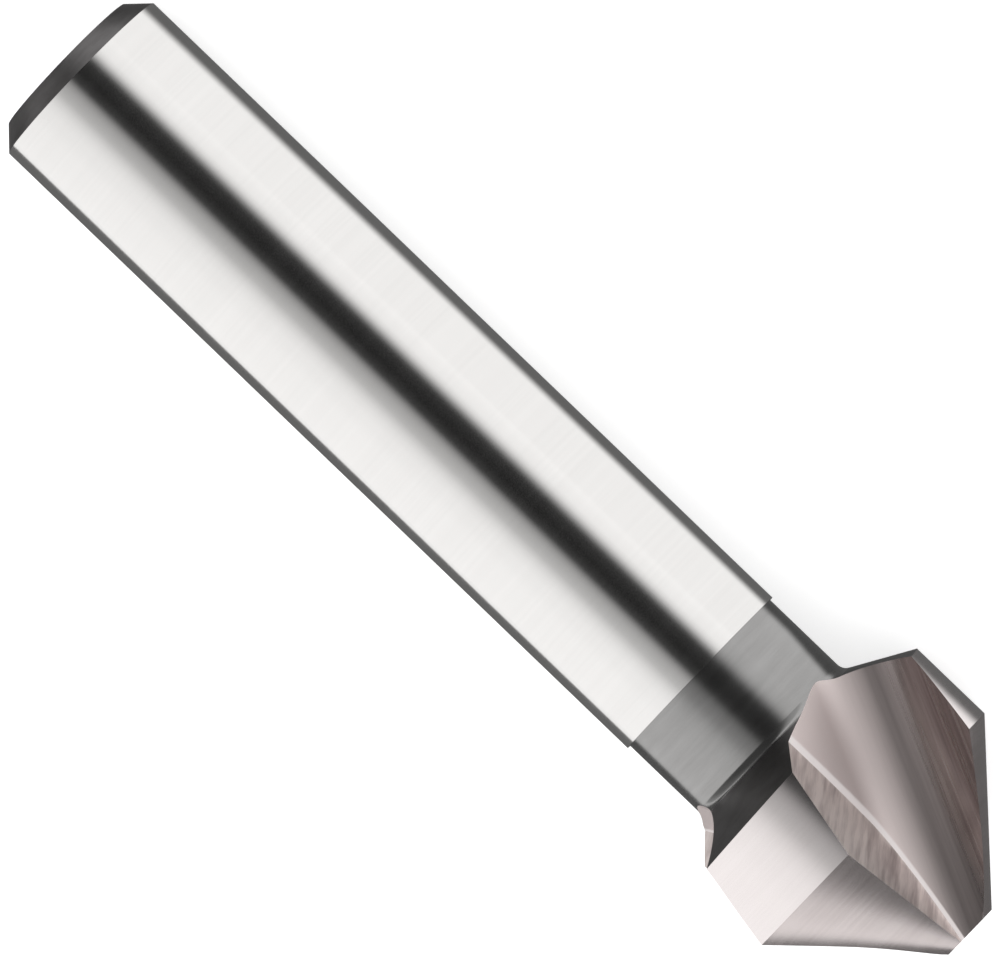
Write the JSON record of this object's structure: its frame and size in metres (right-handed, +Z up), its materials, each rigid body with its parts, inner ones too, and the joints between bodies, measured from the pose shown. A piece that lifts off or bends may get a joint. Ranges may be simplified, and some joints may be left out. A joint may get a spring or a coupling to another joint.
{
  "type": "countersink bit",
  "caption": "Ninety-degree countersink bit with relieved teeth, ground flutes and a plain cylindrical shank, lying on its side.",
  "frame": {"origin": "centre of the footprint, on the surface the tool lies on", "axes": "+X along the tool towards the point, +Z up from the surface; the tool axis is pitched up 2.22 degrees towards the head"},
  "size_m": [0.0602, 0.016, 0.0151],
  "materials": {
    "tool_steel": "ground and polished high-speed steel"
  },
  "bodies": {
    "root": {"countersink_bit": "tool_steel"}
  },
  "joints": []
}
